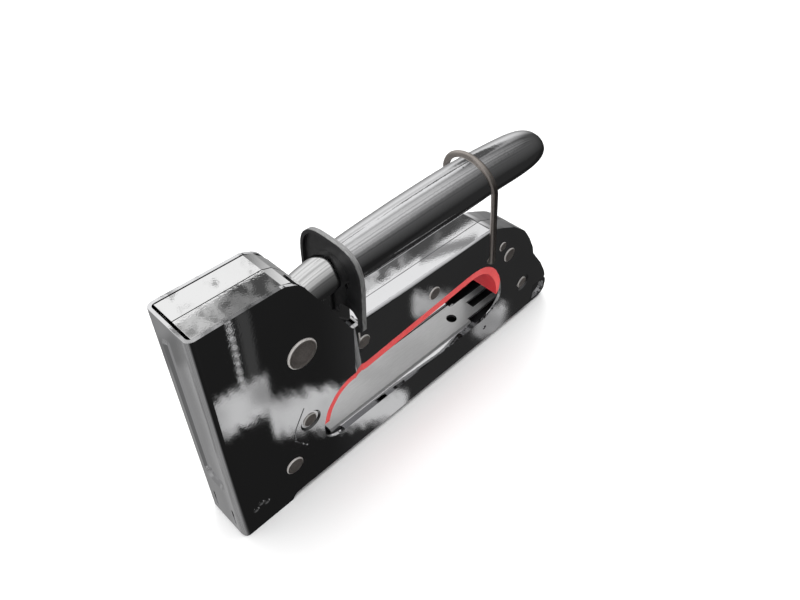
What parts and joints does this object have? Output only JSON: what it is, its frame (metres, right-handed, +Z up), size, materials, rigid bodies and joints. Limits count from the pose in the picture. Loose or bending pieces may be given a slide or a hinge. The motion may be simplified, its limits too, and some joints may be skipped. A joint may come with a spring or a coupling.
{
  "type": "hand staple gun",
  "caption": "Squeeze-lever hand stapler for roofing felt and siding: folded steel housing, finger opening, long hinged lever with hand guard, wire lock loop and slide-out magazine.",
  "frame": {"origin": "centre of the nose's contact face, where the tool is pressed on the work", "axes": "+X from the nose to the rear, +Z up away from the work, XZ is the plane of symmetry"},
  "size_m": [0.1806, 0.029, 0.102],
  "materials": {
    "shell_chrome": "polished",
    "frame_chrome": "polished",
    "liner_red": "satin",
    "magazine_steel": "zinc plated",
    "cover_steel": "satin",
    "dark_steel": "hardened, oiled",
    "bumper_rubber": "matt",
    "spring_steel": "drawn wire",
    "rivet_steel": "satin, turned",
    "lever_chrome": "polished",
    "arm_chrome": "polished",
    "guard_dark": "semi-gloss, bright rim",
    "wire_steel": "drawn wire",
    "tab_chrome": "polished"
  },
  "bodies": {
    "frame": {"housing_shell": "shell_chrome", "inner_frame_left": "frame_chrome", "inner_frame_right": "frame_chrome", "grip_liner": "liner_red", "magazine_channel": "magazine_steel", "magazine_cover": "cover_steel", "nose_plate": "dark_steel", "blade_guide": "dark_steel", "bumper": "bumper_rubber", "bumper_plate": "magazine_steel", "spring_cap": "magazine_steel", "main_spring": "spring_steel", "lever_pivot": "rivet_steel", "pivot_washers": "magazine_steel", "pivot_bush": "magazine_steel", "bar_rivets": "rivet_steel", "small_rivet": "rivet_steel", "rear_rivet": "rivet_steel", "nose_rivet": "rivet_steel", "frame_pins": "rivet_steel", "frame_spacers": "magazine_steel"},
    "lever": {"lever_grip": "lever_chrome", "lever_arm": "arm_chrome", "hand_guard": "guard_dark", "lifter_pin": "dark_steel", "lifter_sleeve": "dark_steel"},
    "driver": {"driver_blade": "dark_steel", "hammer": "dark_steel"},
    "lock_loop": {"lock_loop": "wire_steel"},
    "magazine_slide": {"staple_rail": "magazine_steel", "pull_tab": "tab_chrome", "pusher_rod": "spring_steel", "pusher_spring": "spring_steel"},
    "pusher": {"pusher": "magazine_steel"}
  },
  "joints": [
    {"name": "lever_squeeze", "type": "hinge", "parent": "frame", "child": "lever", "pos_m": [0.0215, 0, 0.0721], "axis": [0, 1, 0], "range_deg": [0, 7.5], "stiffness_Nm_per_rad": 4, "springref_deg": -17.19},
    {"name": "driver_lift", "type": "slide", "parent": "frame", "child": "driver", "axis": [0, 0, 1], "range_m": [0, 0.0026], "deforming": ["main_spring"]},
    {"name": "loop_swing", "type": "hinge", "parent": "frame", "child": "lock_loop", "pos_m": [0.1194, 0, 0.0489], "axis": [0, 1, 0], "range_deg": [0, 28]},
    {"name": "magazine_pull", "type": "slide", "parent": "frame", "child": "magazine_slide", "axis": [1, 0, 0], "range_m": [0, 0.11]},
    {"name": "pusher_slide", "type": "slide", "parent": "magazine_slide", "child": "pusher", "axis": [1, 0, 0], "range_m": [0, 0.1], "stiffness_N_per_m": 40, "springref_m": -0.05, "deforming": ["pusher_spring"]}
  ],
  "couplings": [
    {"joint": "driver_lift", "follows": "lever_squeeze", "m_per_rad": 0.0195}
  ]
}
